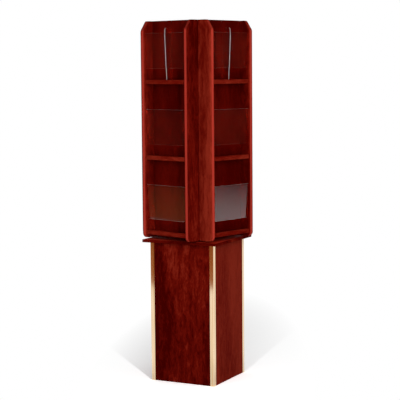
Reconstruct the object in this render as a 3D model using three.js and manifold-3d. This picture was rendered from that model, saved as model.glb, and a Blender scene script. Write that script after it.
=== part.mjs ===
// Revolving four-sided periodical display: a wooden head with three tiers of pockets on each face,
// a ball-bearing turntable, and a hollow square pedestal with brass corner angles.
// Millimetres, +Z up. The origin is on the floor, on the axis that the head turns about.
// X and Y are square to the faces of the head; the pedestal stands turned beneath it.

import * as THREE from 'three';
import { mergeVertices } from 'three/addons/utils/BufferGeometryUtils.js';
import Module from 'manifold-3d';

const wasm = await Module();
wasm.setup();

// Head
const pocketWidth = 228.6; // clear width between the two side panels of a face
const sidePanelThickness = 25.4;
const wingDepth = 68.5; // how far the side panels stand out from the core
const sidePanelDrop = 16.5; // how far they hang below the lowest shelf
const sidePanelLap = 3.5; // and below the core
const clipDepth = 29; // slanting clip at the top front corner
const clipHeight = 41;
const clipRounding = 6; // length of the curve at each end of the clip
const footRadius = 21; // rounding of the bottom front corner
const edgeRadius = 5; // round-over of the exposed edges
const edgeSteps = 4; // facets across a round-over
const backThickness = 16;
const postWidth = 38;
const headBoardThickness = 19;

// Pockets
const tierNames = ['bottom', 'middle', 'top'];
const tierPitch = 330;
const topPocketHeight = 255; // from the top rail to the top of the head
const railHeight = 19; // front lip of a shelf
const railDepth = 12;
const railSetback = 2.7; // the rail lies this far behind the panels' front edges
const railRadius = 3;
const shelfFloor = 8;

// Clear acrylic
const frontThickness = 3;
const frontGap = 49; // open space between the rail and the foot of a sheet
const frontHeight = 152.4;
const frontLean = THREE.MathUtils.degToRad(2.7);
const frontGroove = 6; // depth of the groove in each side panel
const dividerThickness = 3;
const dividerDrop = 33; // from the top of the head down to the top of a divider
const dividerGroove = 5; // depth of the groove in the back panel
const dividerCorner = 12; // rounding of the free top corner

// Turntable bearing
const turntableWidth = 190;
const turntableHeight = 9.5; // from the pedestal's plate to the underside of the core
const turntableCorner = 10;
const pressedSheet = 1.5;
const raceRadius = 74;
const ballCount = 24;
const raceShoulder = 4; // flat of the pressed ridge on each side of the ball groove
const ridgeSlope = 3; // run of the slope that lifts the ridge off the flange
const flangeLap = 3; // flat ring round the ridge
const screwHole = 4.5; // diameter of the fixing holes in the corners
const screwInset = 12; // of their centres from the edges
const accessHole = 17; // diameter of the hole that the upper plate's screws are driven through
const cageThickness = 1;
const cageMargin = 0.9; // of the cage ring beyond the balls

// Pedestal
const pedestalHeight = 622.3;
const pedestalWidth = 308; // across the wood
const pedestalWall = 19;
const pedestalTurn = THREE.MathUtils.degToRad(15.1); // the head stands turned on it
const bottomBoardThickness = 16;
const brassLeg = 19;
const brassThickness = 1.6;
const brassRadius = 2;
const plateWidth = 364;
const plateThickness = 12.7;
const plateCorner = 2;
const plateEdge = 1.5;

// Clearances
const glueLine = 0.25; // between pieces fixed together
const slideFit = 0.35; // round clear sheets in their grooves
const ballFit = 0.3; // between a ball and its race
const cageClearance = 0.65; // between the cage and the pressed ridges

// Levels and places that follow
const plateTop = pedestalHeight + plateThickness;
const coreBottom = plateTop + turntableHeight;
const headBottom = coreBottom - sidePanelLap;
const lowestShelf = headBottom + sidePanelDrop;
const headTop = lowestShelf + (tierNames.length - 1) * tierPitch + railHeight + topPocketHeight;
const headHeight = headTop - headBottom;
const coreHeight = headTop - coreBottom;
const coreHalf = pocketWidth / 2 + sidePanelThickness;
const railFront = wingDepth - railSetback;
const railBack = railFront - railDepth;
const shelfLength = pocketWidth - 2 * glueLine;
const ballRadius = turntableHeight / 2 - glueLine - pressedSheet - ballFit;
const screwFromAxis = turntableWidth / 2 - screwInset;
const circleSteps = 40;
const faceNames = ['front', 'right', 'back', 'left'];

// Finishes
const stainedWood = () => new THREE.MeshStandardMaterial({ color: 0x6a160d, roughness: 0.42 });
const clearAcrylic = () =>
  new THREE.MeshStandardMaterial({ color: 0xe9eef0, roughness: 0.05, transparent: true, opacity: 0.3 });
const polishedBrass = () => new THREE.MeshStandardMaterial({ color: 0xd9b478, roughness: 0.2, metalness: 1 });
const zincSteel = () => new THREE.MeshStandardMaterial({ color: 0xa9adb0, roughness: 0.35, metalness: 1 });

function solidOf(geometry) {
  const bare = new THREE.BufferGeometry();
  bare.setAttribute('position', geometry.getAttribute('position').clone());
  if (geometry.index) bare.setIndex(geometry.index.clone());
  const merged = mergeVertices(bare, 1e-4);
  const vertProperties = new Float32Array(merged.getAttribute('position').array);
  const triVerts = new Uint32Array(merged.index.array);
  return new wasm.Manifold(new wasm.Mesh({ numProp: 3, vertProperties, triVerts }));
}

function geometryOf(solid) {
  const mesh = solid.getMesh();
  const geometry = new THREE.BufferGeometry();
  geometry.setAttribute('position', new THREE.BufferAttribute(new Float32Array(mesh.vertProperties), 3));
  geometry.setIndex(new THREE.BufferAttribute(new Uint32Array(mesh.triVerts), 1));
  geometry.computeVertexNormals();
  return geometry;
}

function cut(geometry, cutters) {
  const result = cutters.reduce((solid, cutter) => solid.subtract(solidOf(cutter)), solidOf(geometry));
  return geometryOf(result);
}

function join(geometries) {
  const result = geometries.map(solidOf).reduce((solid, next) => solid.add(next));
  return geometryOf(result);
}

function piece(name, geometry, material) {
  const mesh = new THREE.Mesh(geometry, material);
  mesh.name = name;
  return mesh;
}

function extruded(shape, depth, curveSegments = 4) {
  return new THREE.ExtrudeGeometry(shape, { depth, curveSegments, bevelEnabled: false });
}

function edgeRounded(shape, depth, radius) {
  const geometry = new THREE.ExtrudeGeometry(shape, {
    depth: depth - 2 * radius,
    curveSegments: 6,
    bevelThickness: radius,
    bevelSize: radius,
    bevelOffset: -radius,
    bevelSegments: edgeSteps,
  });
  return geometry.translate(0, 0, radius);
}

function board(width, depth, height) {
  return new THREE.BoxGeometry(width, depth, height).translate(0, 0, height / 2);
}

// An upright cutter for a round hole through a plate that lies at z = 0
function drill(diameter, x, y) {
  const length = 8 * plateThickness;
  const cutter = new THREE.CylinderGeometry(diameter / 2, diameter / 2, length, circleSteps / 2);
  return cutter.rotateX(Math.PI / 2).translate(x, y, 0);
}

function roundedSquare(width, radius) {
  const half = width / 2;
  const inner = half - radius;
  const shape = new THREE.Shape();
  shape.absarc(inner, inner, radius, 0, Math.PI / 2);
  shape.absarc(-inner, inner, radius, Math.PI / 2, Math.PI);
  shape.absarc(-inner, -inner, radius, Math.PI, 1.5 * Math.PI);
  shape.absarc(inner, -inner, radius, 1.5 * Math.PI, 2 * Math.PI);
  shape.closePath();
  return shape;
}

// A profile is drawn as distance out from the core across and height up. This stands it on the front
// face, with its length running to the viewer's left from where it is placed.
const profileToFace = new THREE.Matrix4().makeBasis(
  new THREE.Vector3(0, -1, 0),
  new THREE.Vector3(0, 0, 1),
  new THREE.Vector3(-1, 0, 0),
);

function onFace(name, geometry, material, across, up) {
  const mesh = piece(name, geometry.applyMatrix4(profileToFace), material);
  mesh.position.set(across, -coreHalf, up);
  return mesh;
}

// Cross-section of a clear front, measured from the underside of its shelf. It hangs between the side
// panels above the rail and leans forward; margin widens it all round for the groove that holds it.
function frontSection(margin) {
  const up = new THREE.Vector2(Math.sin(frontLean), Math.cos(frontLean));
  const inward = new THREE.Vector2(-Math.cos(frontLean), Math.sin(frontLean));
  const railEdge = new THREE.Vector2(railBack - glueLine, railHeight);
  const foot = frontGap / up.y;
  const head = foot + frontHeight;
  const corner = (along, through) => {
    return railEdge.clone().addScaledVector(up, along).addScaledVector(inward, through);
  };
  return new THREE.Shape([
    corner(foot - margin, -margin),
    corner(head + margin, -margin),
    corner(head + margin, frontThickness + margin),
    corner(foot - margin, frontThickness + margin),
  ]);
}

function sidePanelOutline() {
  const behind = -2 * edgeRadius; // the core side is sawn off square after the edges are rounded
  const shape = new THREE.Shape();
  shape.moveTo(behind, 0);
  shape.lineTo(wingDepth - footRadius, 0);
  shape.absarc(wingDepth - footRadius, footRadius, footRadius, -Math.PI / 2, 0);
  const clipSpan = Math.hypot(clipDepth, clipHeight);
  const inset = (clipRounding * clipDepth) / clipSpan;
  const drop = (clipRounding * clipHeight) / clipSpan;
  const clipFoot = headHeight - clipHeight;
  const clipHead = wingDepth - clipDepth;
  shape.lineTo(wingDepth, clipFoot - clipRounding);
  shape.quadraticCurveTo(wingDepth, clipFoot, wingDepth - inset, clipFoot + drop);
  shape.lineTo(clipHead + inset, headHeight - drop);
  shape.quadraticCurveTo(clipHead, headHeight, clipHead - clipRounding, headHeight);
  shape.lineTo(behind, headHeight);
  shape.closePath();
  return shape;
}

// The inner face of the left panel is where its profile starts, that of the right panel is where it ends.
function sidePanel(innerFaceFirst) {
  const sawn = board(8 * edgeRadius, 2 * headHeight, 4 * sidePanelThickness);
  sawn.translate(-4 * edgeRadius, headHeight / 2, -sidePanelThickness);
  const grooves = tierNames.map((tier, level) => {
    const groove = extruded(frontSection(slideFit), 2 * frontGroove);
    const innerFace = innerFaceFirst ? 0 : sidePanelThickness;
    return groove.translate(0, sidePanelDrop + level * tierPitch, innerFace - frontGroove);
  });
  const blank = edgeRounded(sidePanelOutline(), sidePanelThickness, edgeRadius);
  return cut(blank, [sawn, ...grooves]);
}

function backPanel() {
  const width = pocketWidth - 2 * glueLine;
  const blank = board(backThickness - glueLine, coreHeight, width);
  blank.translate((backThickness + glueLine) / 2, coreHeight / 2, 0);
  const grooveFoot = sidePanelDrop - sidePanelLap + (tierNames.length - 1) * tierPitch + shelfFloor;
  const groove = board(2 * dividerGroove, coreHeight, dividerThickness + 2 * slideFit);
  groove.translate(backThickness, grooveFoot + coreHeight / 2, (width - dividerThickness) / 2 - slideFit);
  return cut(blank, [groove]);
}

// A shelf is a thin floor with a front lip.
function pocketShelf() {
  const back = backThickness + glueLine;
  const nose = railFront - railRadius;
  const shape = new THREE.Shape();
  shape.moveTo(back, 0);
  shape.absarc(nose, railRadius, railRadius, -Math.PI / 2, 0);
  shape.absarc(nose, railHeight - railRadius, railRadius, 0, Math.PI / 2);
  shape.lineTo(railBack, railHeight);
  shape.lineTo(railBack, shelfFloor);
  shape.lineTo(back, shelfFloor);
  shape.closePath();
  return extruded(shape, shelfLength);
}

function clearFront() {
  return extruded(frontSection(0), pocketWidth + 2 * (frontGroove - slideFit));
}

// The front edge of a divider follows the lean of the clear front that it stands behind.
function brochureDivider() {
  const back = backThickness - dividerGroove + slideFit;
  const foot = shelfFloor + glueLine;
  const head = railHeight + topPocketHeight - dividerDrop;
  const frontAt = (height) => {
    const lean = (height - railHeight) * Math.tan(frontLean);
    return railBack - 2 * glueLine - slideFit - frontThickness / Math.cos(frontLean) + lean;
  };
  const shape = new THREE.Shape();
  shape.moveTo(back, foot);
  shape.lineTo(frontAt(foot), foot);
  shape.lineTo(frontAt(head - dividerCorner), head - dividerCorner);
  shape.quadraticCurveTo(frontAt(head), head, frontAt(head) - dividerCorner, head);
  shape.lineTo(back, head);
  shape.closePath();
  return extruded(shape, dividerThickness, 6);
}

function pocketFace(face) {
  const group = new THREE.Group();
  const halfPocket = pocketWidth / 2;
  const frontHalf = halfPocket + frontGroove - slideFit;
  group.add(onFace(`${face}_left_side_panel`, sidePanel(true), stainedWood(), -halfPocket, headBottom));
  group.add(onFace(`${face}_right_side_panel`, sidePanel(false), stainedWood(), coreHalf, headBottom));
  group.add(onFace(`${face}_back_panel`, backPanel(), stainedWood(), halfPocket - glueLine, coreBottom));
  tierNames.forEach((tier, level) => {
    const up = lowestShelf + level * tierPitch;
    group.add(onFace(`${face}_${tier}_shelf`, pocketShelf(), stainedWood(), shelfLength / 2, up));
    group.add(onFace(`${face}_${tier}_clear_front`, clearFront(), clearAcrylic(), frontHalf, up));
  });
  const topShelf = lowestShelf + (tierNames.length - 1) * tierPitch;
  const divider = brochureDivider();
  group.add(onFace(`${face}_brochure_divider`, divider, clearAcrylic(), dividerThickness / 2, topShelf));
  return group;
}

function cornerPost(face) {
  const foot = headBoardThickness + glueLine;
  const blank = board(postWidth, postWidth, coreHeight - 2 * foot);
  const post = piece(`${face}_corner_post`, blank, stainedWood());
  const fromAxis = coreHalf - glueLine - postWidth / 2;
  post.position.set(fromAxis, -fromAxis, coreBottom + foot);
  return post;
}

function displayHead() {
  const head = new THREE.Group();
  faceNames.forEach((face, quarter) => {
    const side = pocketFace(face);
    side.add(cornerPost(face));
    side.rotation.z = (quarter * Math.PI) / 2;
    head.add(side);
  });
  const boardWidth = 2 * (coreHalf - glueLine);
  const topBoard = piece('head_top_board', board(boardWidth, boardWidth, headBoardThickness), stainedWood());
  topBoard.position.z = headTop - headBoardThickness;
  const bottomBoard = piece('head_bottom_board', topBoard.geometry.clone(), stainedWood());
  bottomBoard.position.z = coreBottom;
  head.add(topBoard, bottomBoard);
  return head;
}

// Half of the turntable, lying on its flange: a square of sheet whose middle is pressed up into a round
// ridge, with the groove that the balls run in along its crown. The section runs round anticlockwise.
function pressedPlate() {
  const ballHeight = turntableHeight / 2 - glueLine;
  const crown = ballHeight - cageThickness / 2 - cageClearance;
  const ridgeLift = crown - pressedSheet;
  const grooveRadius = ballRadius + ballFit;
  const grooveAngle = Math.acos((ballHeight - crown) / grooveRadius);
  const grooveHalf = grooveRadius * Math.sin(grooveAngle);
  const inner = raceRadius - grooveHalf - raceShoulder;
  const ridgeOuter = raceRadius + grooveHalf + raceShoulder;
  const flangeInner = ridgeOuter + ridgeSlope;
  const flangeOuter = flangeInner + flangeLap;
  const groove = [1, 0.5, 0, -0.5, -1].map((share) => {
    const angle = share * grooveAngle;
    return [raceRadius + grooveRadius * Math.sin(angle), ballHeight - grooveRadius * Math.cos(angle)];
  });
  const section = [
    [inner, ridgeLift],
    [raceRadius - grooveRadius, ridgeLift],
    [raceRadius, 0],
    [raceRadius + grooveRadius, ridgeLift],
    [ridgeOuter - pressedSheet / 2, ridgeLift],
    [flangeInner - pressedSheet / 2, 0],
    [flangeOuter, 0],
    [flangeOuter, pressedSheet],
    [flangeInner, pressedSheet],
    [ridgeOuter, crown],
    ...groove,
    [inner, crown],
    [inner, ridgeLift],
  ];
  const ridge = new THREE.LatheGeometry(section.map(([r, z]) => new THREE.Vector2(r, z)), circleSteps);
  ridge.rotateX(Math.PI / 2);
  const outline = roundedSquare(turntableWidth, turntableCorner);
  outline.holes.push(new THREE.Path().absarc(0, 0, flangeInner + flangeLap / 2, 0, 2 * Math.PI));
  const flange = extruded(outline, pressedSheet, circleSteps / 4);
  const screws = [-screwFromAxis, screwFromAxis].flatMap((x) =>
    [-screwFromAxis, screwFromAxis].map((y) => drill(screwHole, x, y)),
  );
  return join([ridge, cut(flange, screws)]);
}

function ballRing() {
  const ringHalf = ballRadius + cageMargin;
  const ring = new THREE.Shape().absarc(0, 0, raceRadius + ringHalf, 0, 2 * Math.PI);
  ring.holes.push(new THREE.Path().absarc(0, 0, raceRadius - ringHalf, 0, 2 * Math.PI));
  const cage = extruded(ring, cageThickness, circleSteps / 2).translate(0, 0, -cageThickness / 2);
  const balls = Array.from({ length: ballCount }, (unused, index) => {
    const angle = (index * 2 * Math.PI) / ballCount;
    const ball = new THREE.SphereGeometry(ballRadius, 8, 6).rotateX(Math.PI / 2);
    return ball.translate(raceRadius * Math.cos(angle), raceRadius * Math.sin(angle), 0);
  });
  return join([cage, ...balls]);
}

function turntableTop() {
  const group = new THREE.Group();
  const upper = piece('turntable_upper_plate', pressedPlate(), zincSteel());
  upper.rotation.x = Math.PI;
  upper.position.z = coreBottom - glueLine;
  const ring = piece('turntable_ball_ring', ballRing(), zincSteel());
  ring.position.z = plateTop + turntableHeight / 2;
  group.add(upper, ring);
  return group;
}

function pedestalPanel() {
  const outer = pedestalWidth / 2;
  const inner = outer - pedestalWall;
  const shape = new THREE.Shape([
    new THREE.Vector2(glueLine - outer, -outer),
    new THREE.Vector2(outer - glueLine, -outer),
    new THREE.Vector2(inner - glueLine, -inner),
    new THREE.Vector2(glueLine - inner, -inner),
  ]);
  return extruded(shape, pedestalHeight - glueLine);
}

function brassCorner() {
  const inside = pedestalWidth / 2 + glueLine;
  const outside = inside + brassThickness;
  const end = outside - brassLeg;
  const shape = new THREE.Shape();
  shape.moveTo(inside, -end);
  shape.lineTo(inside, -inside);
  shape.lineTo(end, -inside);
  shape.lineTo(end, -outside);
  shape.absarc(outside - brassRadius, brassRadius - outside, brassRadius, -Math.PI / 2, 0);
  shape.lineTo(outside, -end);
  shape.closePath();
  return extruded(shape, pedestalHeight - glueLine);
}

function pedestal() {
  const group = new THREE.Group();
  faceNames.forEach((face, quarter) => {
    const side = new THREE.Group();
    side.add(piece(`pedestal_${face}_panel`, pedestalPanel(), stainedWood()));
    side.add(piece(`pedestal_${face}_brass_corner`, brassCorner(), polishedBrass()));
    side.rotation.z = (quarter * Math.PI) / 2;
    group.add(side);
  });
  const inside = pedestalWidth - 2 * pedestalWall - 2 * glueLine;
  group.add(piece('pedestal_bottom_board', board(inside, inside, bottomBoardThickness), stainedWood()));
  const plateBlank = edgeRounded(roundedSquare(plateWidth, plateCorner), plateThickness, plateEdge);
  const access = drill(accessHole, 0, -screwFromAxis * Math.SQRT2);
  const plate = piece('pedestal_top_plate', cut(plateBlank, [access]), stainedWood());
  plate.position.z = pedestalHeight;
  const lower = piece('turntable_lower_plate', pressedPlate(), zincSteel());
  lower.position.z = plateTop + glueLine;
  group.add(plate, lower);
  group.rotation.z = pedestalTurn;
  return group;
}

const rack = new THREE.Group();
rack.add(pedestal(), turntableTop(), displayHead());

export default rack;
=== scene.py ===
"""Looks of a revolving four-sided periodical display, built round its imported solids.

The head's boards, the pedestal and its plate are mahogany-stained, lacquered wood. The pocket fronts
and dividers are clear acrylic, the corner angles polished brass and the turntable zinc-plated steel.
Metres, +Z up. X and Y are square to the faces of the head; the pedestal stands turned beneath it.
"""

import math

import bmesh
import bpy
from mathutils import Matrix, Vector


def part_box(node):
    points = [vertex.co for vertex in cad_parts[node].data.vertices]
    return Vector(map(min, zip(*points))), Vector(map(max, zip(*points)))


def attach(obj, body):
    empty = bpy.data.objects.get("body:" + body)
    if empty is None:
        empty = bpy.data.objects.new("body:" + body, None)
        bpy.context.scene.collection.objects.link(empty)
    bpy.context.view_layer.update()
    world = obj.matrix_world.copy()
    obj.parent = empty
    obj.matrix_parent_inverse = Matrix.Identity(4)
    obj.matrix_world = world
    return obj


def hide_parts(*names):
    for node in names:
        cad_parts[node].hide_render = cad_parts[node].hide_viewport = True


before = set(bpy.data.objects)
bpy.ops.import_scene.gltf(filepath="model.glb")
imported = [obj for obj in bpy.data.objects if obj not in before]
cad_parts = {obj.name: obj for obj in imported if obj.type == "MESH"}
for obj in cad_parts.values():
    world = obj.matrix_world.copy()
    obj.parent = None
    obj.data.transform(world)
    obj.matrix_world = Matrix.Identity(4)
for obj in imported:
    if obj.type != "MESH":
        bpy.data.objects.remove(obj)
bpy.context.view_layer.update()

FACES = ("front", "right", "back", "left")
TIERS = ("bottom", "middle", "top")
X, Y, Z = 0, 1, 2

# Sizes of the pieces that their finishes follow
PEDESTAL_TURN = math.radians(15.1)
PANEL_INSIDE = 0.1143  # from the middle of a face to the inner sides of its side panels
PANEL_MIDDLE = 0.127  # and to the middle of their thickness
EDGE_RADIUS = 0.005  # round-over of their edges
SCREW_FROM_AXIS = 0.083  # of the turntable's corner screws, along each side of its square plates
PLATE_SHEET = 0.0015  # thickness of those plates

# Eased edges
BOARD_ARRIS = 0.0008  # a sawn board sanded along its edges
ACRYLIC_ARRIS = 0.0003  # a scraped edge
BRASS_ARRIS = 0.0002
ARRIS_ANGLE = math.radians(50)  # sharper edges are eased, flatter ones are part of a curve
SMOOTH_ANGLE = math.radians(40)
RIM_SLANT = math.cos(math.radians(40))  # a sheet's rim faces turn further than this from its broad faces
TOP_SLANT = 0.99  # and a top face's normal rises by more than this
FLAT_ANGLE = math.radians(0.5)  # faces that meet at less than this are made one
MERGED = 1e-6  # and so are points that lie closer than this

# Finishes
WOOD = "mahogany_stained_wood"
STEEL = "zinc_plated_steel"
NOISE_SPAN = {"From Min": 0.3, "From Max": 0.7}  # most values of a noise lie between these
INNER_PAINTED_SHADE = 0.4  # painted shade: how much darker the inner face of a side panel is made, inside its pocket
SANDED_AND_HIGHLIGHT = 0.65  # how much paler the panel's edges are: partly bared by sanding, partly a painted highlight
PLATE_TOP_PAINTED_LIGHT = -0.3  # the top of the pedestal's plate is made paler: painted light in the shade under the head
PEDESTAL_SHIFT = 0.35  # slides the figure across the boards, so that the front one is paler in the middle

# Photograph's camera
FRAME_PIXELS = 400
FOCAL_PIXELS = 1310.5
SENSOR = 36.0
CAMERA_DISTANCE = 5.824  # from the axis
CAMERA_HEIGHT = 1.381
CAMERA_AZIMUTH = math.radians(42.23)
CAMERA_HEADING = math.radians(42.11)
CAMERA_PITCH = math.radians(84.30)
CAMERA_ROLL = math.radians(-0.45)

# Studio
AMBIENT = 0.30  # strength of the soft light from all round
STRIP_WIDTH = 0.1  # of the lamps: narrow for crisp sides to the shadow, tall to reach under the head
STRIP_HEIGHT = 2.2
STRIP_AIM = 0.8  # height that they face
PAPER_SEEN = (1.84, 1.84, 1.84, 1.0)  # lifts the lit paper to white where it is seen, without more light
PAPER_MIRRORED = (1.3, 1.36, 1.36, 1.0)  # and less far where the feet of the brass mirror it
FLOOR_RADIUS = 30.0
SHADOW_LENGTH = 2.3  # metres from the axis to where the shadow is lost in the white
SHADOW_WIDTH = 0.52  # and square to that
SHADOW_HEADING = math.radians(128)
SHADOW_WHOLE = 0.35  # share of the way out to which none of it is lost
PAPER_EDGE = 2.58  # metres from the axis to the straight front edge of the paper
EDGE_BLUR = 0.1  # metres over which it softens to each side
PAPER_EDGE_AZIMUTH = math.radians(7.6)  # the way it lies, counted as the camera's is
PAPER_FRONT = (math.sin(PAPER_EDGE_AZIMUTH), -math.cos(PAPER_EDGE_AZIMUTH), 0.0)
ROOM_FLOOR = "#A0673E"  # the brown floor beyond it, which only polished surfaces show
LIT_FLOOR = (4.3, 6.4)  # metres from the axis over which the floor's light is lost
ROOM = "#33261E"  # the dim studio all round, which shows in polished surfaces too
WHITE_BEHIND = (-1.0, -0.7)  # cosines to the paper's front over which the mirrored white behind goes dim


def linear(hex_colour):
    """An sRGB hex colour as linear red, green, blue and alpha."""
    shares = [int(hex_colour[place : place + 2], 16) / 255 for place in (1, 3, 5)]
    return tuple(s / 12.92 if s <= 0.04045 else ((s + 0.055) / 1.055) ** 2.4 for s in shares) + (1.0,)


def across(millimetres):
    """Noise scale that gives patches about this wide."""
    return 1000.0 / millimetres


def new_material(name):
    """An empty node material and its output node."""
    material = bpy.data.materials.new(name)
    material.use_nodes = True
    material.node_tree.nodes.clear()
    return material, add(material, "OutputMaterial")


def add(owner, kind, inputs=None, **settings):
    """Add a shader node; an input is a value, or the output socket that it is linked to."""
    tree = owner.node_tree
    node = tree.nodes.new("ShaderNode" + kind)
    for name, value in settings.items():
        setattr(node, name, value)
    for name, value in (inputs or {}).items():
        if isinstance(value, bpy.types.NodeSocket):
            tree.links.new(value, node.inputs[name])
        else:
            node.inputs[name].default_value = value
    return node


def stained_mahogany(name, grain, turn=0.0, shift=0.0, panel_faces=None, shine=0.0015, thin="#7E2416"):
    """Mahogany veneer stained deep red and sprayed with satin lacquer.

    The eye sees broad dark bands along the grain, soft blotches about four times as long as they are wide
    and short wavy marks. Each board has its own depth of stain, which on some boards also holds painted
    light and shade, thin is its colour where the depth is none, and the shine is low and soft. A side panel,
    whose broad faces look along the panel_faces axis, has an inner face darkened as painted shade inside its
    pocket, and edges paler along the crest of the rounding, partly bared by sanding and partly a painted
    highlight, most of all the upright ones.
    """
    material, output = new_material(name)
    place = add(material, "TexCoord").outputs["Object"]

    # Width across the grain and length along it in millimetres, then the noise's detail and distortion, and
    # how far the layer thins or deepens the stain. The pores are drawn three times as wide as real ones,
    # because those are too fine to show.
    layers = {
        "band": (95, 800, 1.0, 0.4, 0.38),
        "blotch": (24, 95, 3.0, 1.3, 0.30),
        "mark": (7, 24, 3.0, 1.7, 0.22),
        "pore": (0.9, 16, 1.0, 0.0, 0.04),
    }
    noise = {}
    figure = 0.0
    for layer, (width, length, detail, distortion, swing) in layers.items():
        stretch = [1.0, 1.0, 1.0]
        stretch[grain] = length / width
        along = add(
            material,
            "Mapping",
            {"Vector": place, "Location": (shift, 0.0, 0.0), "Rotation": (0.0, 0.0, turn), "Scale": stretch},
            vector_type="TEXTURE",
        )
        noise[layer] = add(
            material,
            "TexNoise",
            {
                "Vector": along.outputs["Vector"],
                "Scale": across(width),
                "Detail": detail,
                "Distortion": distortion,
            },
        ).outputs["Fac"]
        change = add(
            material,
            "MapRange",
            {"Value": noise[layer], **NOISE_SPAN, "To Min": -swing, "To Max": swing},
        ).outputs["Result"]
        figure = add(material, "Math", {0: change, 1: figure}, operation="ADD").outputs[0]
    # Depth of stain, which on some boards also holds painted light and shade
    plain_depth = add(material, "Attribute", attribute_name="stain_and_shade_depth").outputs["Fac"]
    strength = add(material, "Attribute", attribute_name="figure_strength").outputs["Fac"]
    depth = add(
        material,
        "Math",
        {0: figure, 1: strength, 2: plain_depth},
        operation="MULTIPLY_ADD",
    ).outputs[0]

    if panel_faces is not None:
        parts = add(material, "SeparateXYZ", {"Vector": place}).outputs
        sideways = add(material, "Math", {0: parts[panel_faces]}, operation="ABSOLUTE").outputs[0]
        # Painted shade: the inner face of a side panel is darker, inside its pocket
        inner_painted_shade = add(
            material,
            "MapRange",
            {
                "Value": sideways,
                "From Min": PANEL_INSIDE,
                "From Max": PANEL_INSIDE + EDGE_RADIUS,
                "To Min": INNER_PAINTED_SHADE,
                "To Max": 0.0,
            },
        ).outputs["Result"]
        depth = add(material, "Math", {0: depth, 1: inner_painted_shade}, operation="ADD").outputs[0]

    colour = linear(thin)
    for start, end, stain in ((0.0, 0.5, "#5C0B04"), (0.5, 1.0, "#3A0100")):
        share = add(
            material,
            "MapRange",
            {"Value": depth, "From Min": start, "From Max": end},
        ).outputs["Result"]
        colour = add(
            material,
            "MixRGB",
            {"Fac": share, "Color1": colour, "Color2": linear(stain)},
        ).outputs["Color"]

    # Paler where the wood turns away from the broad faces, along the crest of the rounding, and less where
    # an
    # edge looks up: partly wood bared by sanding, partly a painted highlight.
    if panel_faces is not None:
        normal = add(material, "TexCoord").outputs["Normal"]
        slants = add(material, "SeparateXYZ", {"Vector": normal}).outputs
        slant = add(material, "Math", {0: slants[panel_faces]}, operation="ABSOLUTE").outputs[0]
        edge = add(
            material,
            "MapRange",
            {"Value": slant, "From Min": 0.1, "From Max": 0.5, "To Min": SANDED_AND_HIGHLIGHT, "To Max": 0.0},
            interpolation_type="SMOOTHSTEP",
        ).outputs["Result"]
        from_middle = add(material, "Math", {0: sideways, 1: PANEL_MIDDLE}, operation="SUBTRACT").outputs[0]
        margin = add(material, "Math", {0: from_middle}, operation="ABSOLUTE").outputs[0]
        ridge = add(
            material,
            "MapRange",
            {
                "Value": margin,
                "From Min": 0.8 * EDGE_RADIUS,
                "From Max": 1.7 * EDGE_RADIUS,
                "To Min": 1.0,
                "To Max": 0.0,
            },
            interpolation_type="SMOOTHSTEP",
        ).outputs["Result"]
        upright = add(
            material,
            "MapRange",
            {"Value": slants[Z], "From Min": 0.0, "From Max": 0.6, "To Min": 1.0, "To Max": 0.4},
        ).outputs["Result"]
        crest = add(material, "Math", {0: edge, 1: ridge}, operation="MULTIPLY").outputs[0]
        sanded_and_highlight = add(material, "Math", {0: crest, 1: upright}, operation="MULTIPLY").outputs[0]
        # The paler edge colour: partly bared wood, partly a painted highlight
        colour = add(
            material,
            "MixRGB",
            {"Fac": sanded_and_highlight, "Color1": colour, "Color2": linear("#B83A2E")},
        ).outputs["Color"]

    roughness = add(
        material,
        "MapRange",
        {"Value": noise["mark"], **NOISE_SPAN, "To Min": 0.32, "To Max": 0.44},
    ).outputs["Result"]
    pores = add(
        material,
        "Bump",
        {"Height": noise["pore"], "Strength": 0.10, "Distance": 0.0004},
    ).outputs["Normal"]
    surface = add(
        material,
        "BsdfPrincipled",
        {
            "Base Color": colour,
            "Roughness": roughness,
            "Normal": pores,
            "IOR": 1.5,
            "Specular IOR Level": shine,
        },
    )
    material.node_tree.links.new(surface.outputs["BSDF"], output.inputs["Surface"])
    return material


def polished_brass():
    """Extruded brass angle, buffed and lacquered: pale gold with faint drawn lines along its length, and
    long streaks of deeper gold, partly dulled lacquer and partly painted reflection.
    """
    material, output = new_material("polished_brass")
    place = add(material, "TexCoord").outputs["Object"]

    # The drawn lines are five times as wide as real ones, because those are too fine to show.
    along = add(
        material,
        "Mapping",
        {"Vector": place, "Rotation": (0.0, 0.0, PEDESTAL_TURN), "Scale": (1.0, 1.0, 300.0)},
        vector_type="TEXTURE",
    )
    lines = add(
        material,
        "TexNoise",
        {"Vector": along.outputs["Vector"], "Scale": across(0.8), "Detail": 2.0},
    ).outputs["Fac"]
    # Long streaks of deeper gold: partly dulled lacquer, partly painted reflection of the surroundings
    drift = add(
        material,
        "Mapping",
        {"Vector": place, "Rotation": (0.0, 0.0, PEDESTAL_TURN), "Scale": (1.0, 1.0, 40.0)},
        vector_type="TEXTURE",
    )
    tone = add(
        material,
        "TexNoise",
        {"Vector": drift.outputs["Vector"], "Scale": across(6), "Detail": 2.0},
    ).outputs["Fac"]
    dulled_and_reflection = add(
        material,
        "MapRange",
        {"Value": tone, "From Min": 0.36, "From Max": 0.66, "To Min": 0.0, "To Max": 0.6},
        interpolation_type="SMOOTHSTEP",
    ).outputs["Result"]
    colour = add(
        material,
        "MixRGB",
        {"Fac": dulled_and_reflection, "Color1": linear("#F5D9B5"), "Color2": linear("#D9AC75")},
    ).outputs["Color"]
    roughness = add(
        material,
        "MapRange",
        {"Value": lines, **NOISE_SPAN, "To Min": 0.05, "To Max": 0.12},
    ).outputs["Result"]
    drawn = add(
        material,
        "Bump",
        {"Height": lines, "Strength": 0.02, "Distance": 0.0003},
    ).outputs["Normal"]
    surface = add(
        material,
        "BsdfPrincipled",
        {"Base Color": colour, "Metallic": 1.0, "Roughness": roughness, "Normal": drawn},
    )
    material.node_tree.links.new(surface.outputs["BSDF"], output.inputs["Surface"])
    return material


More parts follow.
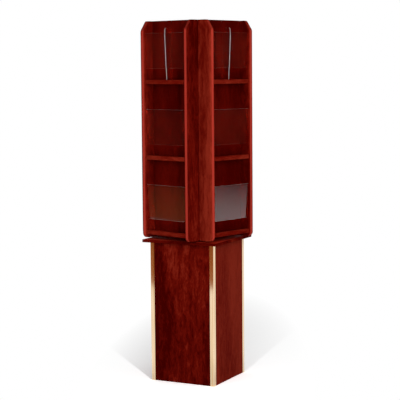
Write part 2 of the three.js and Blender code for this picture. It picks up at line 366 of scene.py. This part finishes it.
def cast_acrylic(name, clear, roughest):
    """Cast acrylic sheet: clear, with a cool cast and a faint haze of handling.

    A scraped edge is rougher and only partly clear, so it is milky and catches the light as a pale line.
    """
    material, output = new_material(name)
    place = add(material, "TexCoord").outputs["Object"]
    haze = add(
        material,
        "TexNoise",
        {"Vector": place, "Scale": across(40), "Detail": 4.0, "Roughness": 0.6},
    ).outputs["Fac"]
    roughness = add(
        material,
        "MapRange",
        {"Value": haze, "From Min": 0.4, "From Max": 0.7, "To Min": 0.7 * roughest, "To Max": roughest},
    ).outputs["Result"]
    sheet = add(
        material,
        "BsdfPrincipled",
        {
            "Base Color": linear("#F4F9FA"),
            "Roughness": roughness,
            "IOR": 1.49,
            "Transmission Weight": clear,
        },
    )
    passing = add(material, "BsdfTransparent", {"Color": linear("#EEF4F5")})
    lamps = add(material, "LightPath").outputs["Is Shadow Ray"]
    surface = add(
        material,
        "MixShader",
        {0: lamps, 1: sheet.outputs["BSDF"], 2: passing.outputs["BSDF"]},
    )
    material.node_tree.links.new(surface.outputs["Shader"], output.inputs["Surface"])
    return material


def zinc_plated_steel():
    """Pressed sheet steel with zinc plating gone dull: cool grey, with faint cloudy patches."""
    material, output = new_material(STEEL)
    place = add(material, "TexCoord").outputs["Object"]
    spangle = add(
        material,
        "TexNoise",
        {"Vector": place, "Scale": across(7), "Detail": 3.0, "Roughness": 0.6},
    ).outputs["Fac"]
    colour = add(
        material,
        "MixRGB",
        {"Fac": spangle, "Color1": linear("#7A7F83"), "Color2": linear("#A3A6A6")},
    ).outputs["Color"]
    roughness = add(
        material,
        "MapRange",
        {"Value": spangle, **NOISE_SPAN, "To Min": 0.26, "To Max": 0.42},
    ).outputs["Result"]
    surface = add(
        material,
        "BsdfPrincipled",
        {"Base Color": colour, "Metallic": 1.0, "Roughness": roughness},
    )
    material.node_tree.links.new(surface.outputs["BSDF"], output.inputs["Surface"])
    return material


def finished(shape, name, body, slot, *materials):
    """Turn a bmesh into a finished piece that rides on a body."""
    for face in shape.faces:
        face.smooth = True
    for edge in shape.edges:
        edge.smooth = edge.calc_face_angle(0.0) < SMOOTH_ANGLE
    mesh = bpy.data.meshes.new(name)
    shape.to_mesh(mesh)
    shape.free()
    for material in materials:
        mesh.materials.append(material)
    piece = bpy.data.objects.new(name, mesh)
    bpy.context.scene.collection.objects.link(piece)
    level = piece.modifiers.new("level faces", "WEIGHTED_NORMAL")
    level.keep_sharp = True
    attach(piece, body)
    return piece


def dressed(node, body, slot, material, arris=0.0, stain=0.0, figure=0.7, top=None, edge=None):
    """A copy of a solid with clean faces, eased edges and smooth curves, in place of the solid.

    Stain is how deeply a wooden piece took it, from 0, thin, to 1, almost black, and on some boards it also
    holds painted light and shade; figure is how strongly its grain shows. The top material goes on its top
    face, which is made paler as painted light in the shade under the head, and the edge material round the
    rim of a thin sheet.
    """
    shape = bmesh.new()
    shape.from_mesh(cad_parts[node].data)
    bmesh.ops.remove_doubles(shape, verts=shape.verts, dist=MERGED)
    bmesh.ops.dissolve_limit(shape, angle_limit=FLAT_ANGLE, verts=shape.verts, edges=shape.edges)
    if arris:
        sharp = [line for line in shape.edges if line.calc_face_angle(0.0) > ARRIS_ANGLE]
        bmesh.ops.bevel(
            shape,
            geom=sharp,
            offset=arris,
            offset_type="OFFSET",
            affect="EDGES",
            segments=2,
            profile=0.5,
            material=-1,
            clamp_overlap=True,
        )
    for attribute, value in (("stain_and_shade_depth", stain), ("figure_strength", figure)):
        layer = shape.verts.layers.float.new(attribute)
        for vert in shape.verts:
            vert[layer] = value
    materials = [material]
    # The top face is made paler: painted light in the shade under the head
    if top:
        layer = shape.verts.layers.float["stain_and_shade_depth"]
        for face in shape.faces:
            if face.normal.z > TOP_SLANT:
                face.material_index = 1
                for vert in face.verts:
                    vert[layer] = PLATE_TOP_PAINTED_LIGHT
        materials.append(top)
    if edge:
        low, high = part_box(node)
        thin = min((X, Y, Z), key=lambda axis: high[axis] - low[axis])
        for face in shape.faces:
            face.material_index = int(abs(face.normal[thin]) < RIM_SLANT)
        materials.append(edge)
    piece = finished(shape, node + "_finished", body, slot, *materials)
    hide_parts(node)
    return piece


# The pedestal's boards: depth of stain, painted light and shade that makes the front darker and the right
# paler as the light fell on them, and strength of the figure
PEDESTAL_SHADE_AND_FIGURE = {
    "front": (0.6, 0.9),
    "right": (0.2, 0.5),
    "back": (0.55, 0.9),
    "left": (0.2, 0.6),
}

# The same for the back panel and the shelves on each face of the head: their depth of stain is painted shade
# that darkens the back panels inside the pockets, and painted light and shade that makes the front shelves
# darker and the right ones paler
HEAD_BOARDS = {
    "front": (0.82, 0.42),
    "right": (0.95, 0.32),
    "back": (0.85, 0.4),
    "left": (0.9, 0.36),
}

mahogany_upright = stained_mahogany("mahogany_upright", Z)
mahogany_side = {
    "front": stained_mahogany("mahogany_side_x", Z, panel_faces=X),
    "right": stained_mahogany("mahogany_side_y", Z, panel_faces=Y),
}
mahogany_lengthwise = {
    "front": stained_mahogany("mahogany_shelf_x", X),
    "right": stained_mahogany("mahogany_shelf_y", Y),
}
for finish in (mahogany_side, mahogany_lengthwise):
    finish["back"] = finish["front"]
    finish["left"] = finish["right"]
mahogany_pedestal = stained_mahogany("mahogany_pedestal", Z, PEDESTAL_TURN, PEDESTAL_SHIFT)
mahogany_plate = stained_mahogany("mahogany_plate", X, PEDESTAL_TURN, shine=0.0)
# The plate's top is a brighter red with a thinner stain: painted light in the shade under the head
mahogany_plate_top_painted_light = stained_mahogany("mahogany_plate_top_painted_light", X, PEDESTAL_TURN, shine=0.002, thin="#B02A19")
brass = polished_brass()
acrylic = cast_acrylic("clear_acrylic", clear=1.0, roughest=0.03)
acrylic_edge = cast_acrylic("scraped_acrylic_edge", clear=0.6, roughest=0.4)
zinc = zinc_plated_steel()


def clear_sheet(node):
    """A clear front or divider with milky edges."""
    dressed(node, "head", "clear_acrylic", acrylic, ACRYLIC_ARRIS, edge=acrylic_edge)


for face in FACES:
    back_stain_and_shade, shelf_stain_and_shade = HEAD_BOARDS[face]
    # Left side panels paler and right ones darker: painted light and shade, as the light fell on the two
    # sides of each corner
    dressed(f"{face}_left_side_panel", "head", WOOD, mahogany_side[face], stain=0.17, figure=0.7)
    dressed(f"{face}_right_side_panel", "head", WOOD, mahogany_side[face], stain=0.62, figure=0.9)
    dressed(f"{face}_back_panel", "head", WOOD, mahogany_upright, stain=back_stain_and_shade, figure=0.35)
    dressed(f"{face}_corner_post", "head", WOOD, mahogany_upright, BOARD_ARRIS, stain=0.4)
    for tier in TIERS:
        dressed(f"{face}_{tier}_shelf", "head", WOOD, mahogany_lengthwise[face], stain=shelf_stain_and_shade)
        clear_sheet(f"{face}_{tier}_clear_front")
    clear_sheet(f"{face}_brochure_divider")
    # Each pedestal board's depth of stain holds painted light and shade
    stain, figure = PEDESTAL_SHADE_AND_FIGURE[face]
    dressed(f"pedestal_{face}_panel", "pedestal", WOOD, mahogany_pedestal, stain=stain, figure=figure)
    dressed(f"pedestal_{face}_brass_corner", "pedestal", "polished_brass", brass, BRASS_ARRIS)
for board in ("head_top_board", "head_bottom_board"):
    dressed(board, "head", WOOD, mahogany_lengthwise["front"], BOARD_ARRIS, stain=0.4)
dressed(
    "pedestal_top_plate",
    "pedestal",
    WOOD,
    mahogany_plate,
    BOARD_ARRIS,
    stain=0.62,
    top=mahogany_plate_top_painted_light,
)
dressed("pedestal_bottom_board", "pedestal", WOOD, mahogany_plate, BOARD_ARRIS, stain=0.4)
dressed("turntable_upper_plate", "head", STEEL, zinc)
dressed("turntable_lower_plate", "pedestal", STEEL, zinc)
dressed("turntable_ball_ring", "ball_ring", STEEL, zinc)


def pan_head_screws(name, body, level, faces_up, turn):
    """The four corner screws of a turntable plate, with domed heads on the sheet and shanks through it."""
    shape = bmesh.new()

    # Half of a screw's section: metres out from its middle and up from the sheet
    profile = [
        (0.0, 0.0018),
        (0.0016, 0.0017),
        (0.0029, 0.0012),
        (0.0035, 0.0005),
        (0.0035, 0.0),
        (0.0019, 0.0),
        (0.0019, -0.0014),
    ]
    points = [shape.verts.new((out, 0.0, up)) for out, up in profile]
    section = [shape.edges.new(pair) for pair in zip(points, points[1:])]
    bmesh.ops.spin(
        shape,
        geom=points + section,
        cent=(0.0, 0.0, 0.0),
        axis=(0.0, 0.0, 1.0),
        angle=2 * math.pi,
        steps=16,
        use_merge=True,
    )
    bmesh.ops.remove_doubles(shape, verts=shape.verts, dist=MERGED)
    rim = [edge for edge in shape.edges if edge.is_boundary]
    bmesh.ops.holes_fill(shape, edges=rim)
    bmesh.ops.recalc_face_normals(shape, faces=shape.faces)
    if not faces_up:
        bmesh.ops.rotate(shape, verts=shape.verts, cent=(0, 0, 0), matrix=Matrix.Rotation(math.pi, 3, "X"))
    bmesh.ops.translate(shape, verts=shape.verts, vec=(SCREW_FROM_AXIS, SCREW_FROM_AXIS, level))
    first = list(shape.verts) + list(shape.edges) + list(shape.faces)
    for quarter in (1, 2, 3):
        copied = bmesh.ops.duplicate(shape, geom=first)["geom"]
        bmesh.ops.rotate(
            shape,
            verts=[item for item in copied if isinstance(item, bmesh.types.BMVert)],
            cent=(0, 0, 0),
            matrix=Matrix.Rotation(quarter * math.pi / 2, 3, "Z"),
        )
    bmesh.ops.rotate(shape, verts=shape.verts, cent=(0, 0, 0), matrix=Matrix.Rotation(turn, 3, "Z"))
    finished(shape, name, body, STEEL, zinc)


lower_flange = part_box("turntable_lower_plate")[0].z + PLATE_SHEET
upper_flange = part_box("turntable_upper_plate")[1].z - PLATE_SHEET
pan_head_screws("turntable_lower_screws", "pedestal", lower_flange, True, PEDESTAL_TURN)
pan_head_screws("turntable_upper_screws", "head", upper_flange, False, 0.0)


def sight_lines(owner):
    """Whether the camera sees a ray, straight or by way of a surface, and whether it is a mirrored one."""
    rays = add(owner, "LightPath").outputs
    seen = rays["Is Camera Ray"]
    for kind in ("Is Glossy Ray", "Is Transmission Ray"):
        seen = add(owner, "Math", {0: seen, 1: rays[kind]}, operation="MAXIMUM").outputs[0]
    return seen, rays["Is Glossy Ray"]


def studio_floor():
    """A white paper floor that keeps the display's soft shadow and goes out to plain white round it.

    Polished surfaces mirror the white too, then a brown floor past its front edge and the dim room beyond.
    """
    material, output = new_material("white_paper_floor")
    seen, mirrored = sight_lines(material)
    shade = linear("#E4E4E3")
    for kind, tone in ((seen, PAPER_SEEN), (mirrored, PAPER_MIRRORED)):
        shade = add(
            material,
            "MixRGB",
            {"Fac": kind, "Color1": shade, "Color2": tone},
        ).outputs["Color"]
    paper = add(material, "BsdfDiffuse", {"Color": shade})

    place = add(material, "TexCoord").outputs["Object"]
    oval = add(
        material,
        "Mapping",
        {
            "Vector": place,
            "Rotation": (0.0, 0.0, SHADOW_HEADING),
            "Scale": (SHADOW_LENGTH, SHADOW_WIDTH, 1.0),
        },
        vector_type="TEXTURE",
    )
    reach = add(material, "VectorMath", {0: oval.outputs["Vector"]}, operation="LENGTH").outputs["Value"]
    fade = add(
        material,
        "MapRange",
        {"Value": reach, "From Min": SHADOW_WHOLE, "From Max": 1.0},
    ).outputs["Result"]
    white = add(material, "Math", {0: fade, 1: seen}, operation="MULTIPLY").outputs[0]

    ahead = add(
        material,
        "VectorMath",
        {0: place, 1: PAPER_FRONT},
        operation="DOT_PRODUCT",
    ).outputs["Value"]
    past = add(
        material,
        "MapRange",
        {"Value": ahead, "From Min": PAPER_EDGE - EDGE_BLUR, "From Max": PAPER_EDGE + EDGE_BLUR},
    ).outputs["Result"]
    distance = add(material, "VectorMath", {0: place}, operation="LENGTH").outputs["Value"]
    away = add(
        material,
        "MapRange",
        {"Value": distance, "From Min": LIT_FLOOR[0], "From Max": LIT_FLOOR[1]},
    ).outputs["Result"]
    sight = linear("#FFFFFF")
    for beyond, tone in ((past, ROOM_FLOOR), (away, ROOM)):
        share = add(material, "Math", {0: beyond, 1: mirrored}, operation="MULTIPLY").outputs[0]
        sight = add(
            material,
            "MixRGB",
            {"Fac": share, "Color1": sight, "Color2": linear(tone)},
        ).outputs["Color"]
    plain = add(material, "Emission", {"Color": sight, "Strength": 1.0})
    surface = add(
        material,
        "MixShader",
        {0: white, 1: paper.outputs["BSDF"], 2: plain.outputs["Emission"]},
    )
    material.node_tree.links.new(surface.outputs["Shader"], output.inputs["Surface"])

    shape = bmesh.new()
    bmesh.ops.create_circle(shape, cap_ends=True, segments=96, radius=FLOOR_RADIUS)
    mesh = bpy.data.meshes.new("studio_floor")
    shape.to_mesh(mesh)
    shape.free()
    mesh.materials.append(material)
    floor = bpy.data.objects.new("studio_floor", mesh)
    bpy.context.scene.collection.objects.link(floor)


def studio_world():
    """White to the camera, white behind and dim elsewhere in a mirror, and a soft light to all else."""
    world = bpy.data.worlds.new("studio")
    world.use_nodes = True
    world.node_tree.nodes.clear()
    output = add(world, "OutputWorld")
    soft = add(world, "Background", {"Color": linear("#FFFFFF"), "Strength": AMBIENT})
    seen, mirrored = sight_lines(world)
    ahead = add(
        world,
        "VectorMath",
        {0: add(world, "TexCoord").outputs["Generated"], 1: PAPER_FRONT},
        operation="DOT_PRODUCT",
    ).outputs["Value"]
    front = add(
        world,
        "MapRange",
        {"Value": ahead, "From Min": WHITE_BEHIND[0], "From Max": WHITE_BEHIND[1]},
    ).outputs["Result"]
    room = add(world, "Math", {0: front, 1: mirrored}, operation="MULTIPLY").outputs[0]
    sight = add(
        world,
        "MixRGB",
        {"Fac": room, "Color1": linear("#FFFFFF"), "Color2": linear(ROOM)},
    ).outputs["Color"]
    white = add(world, "Background", {"Color": sight, "Strength": 1.0})
    surface = add(
        world,
        "MixShader",
        {0: seen, 1: soft.outputs["Background"], 2: white.outputs["Background"]},
    )
    world.node_tree.links.new(surface.outputs["Shader"], output.inputs["Surface"])
    bpy.context.scene.world = world


def strip_softbox(name, azimuth, distance, height, power):
    """A tall narrow lamp that faces the middle of the display; azimuth is counted as the camera's is."""
    lamp = bpy.data.lights.new(name, "AREA")
    lamp.shape = "RECTANGLE"
    lamp.size = STRIP_WIDTH
    lamp.size_y = STRIP_HEIGHT
    lamp.energy = power
    angle = math.radians(azimuth)
    place = Vector((distance * math.sin(angle), -distance * math.cos(angle), height))
    holder = bpy.data.objects.new(name, lamp)
    aim = Vector((0.0, 0.0, STRIP_AIM)) - place
    holder.matrix_world = Matrix.Translation(place) @ aim.to_track_quat("-Z", "Y").to_matrix().to_4x4()
    bpy.context.scene.collection.objects.link(holder)


def photograph_camera():
    """The camera at the photograph's viewing angle."""
    lens = bpy.data.cameras.new("photograph")
    lens.sensor_width = SENSOR
    lens.lens = FOCAL_PIXELS / FRAME_PIXELS * SENSOR
    camera = bpy.data.objects.new("photograph", lens)
    place = Vector(
        (
            CAMERA_DISTANCE * math.sin(CAMERA_AZIMUTH),
            -CAMERA_DISTANCE * math.cos(CAMERA_AZIMUTH),
            CAMERA_HEIGHT,
        )
    )
    camera.matrix_world = (
        Matrix.Translation(place)
        @ Matrix.Rotation(CAMERA_HEADING, 4, "Z")
        @ Matrix.Rotation(CAMERA_PITCH, 4, "X")
        @ Matrix.Rotation(CAMERA_ROLL, 4, "Z")
    )
    bpy.context.scene.collection.objects.link(camera)
    bpy.context.scene.camera = camera


studio_floor()
studio_world()
strip_softbox("key", azimuth=57, distance=3.4, height=1.6, power=80)
strip_softbox("fill", azimuth=28, distance=3.4, height=1.6, power=37)
photograph_camera()
bpy.context.scene.view_settings.view_transform = "Standard"
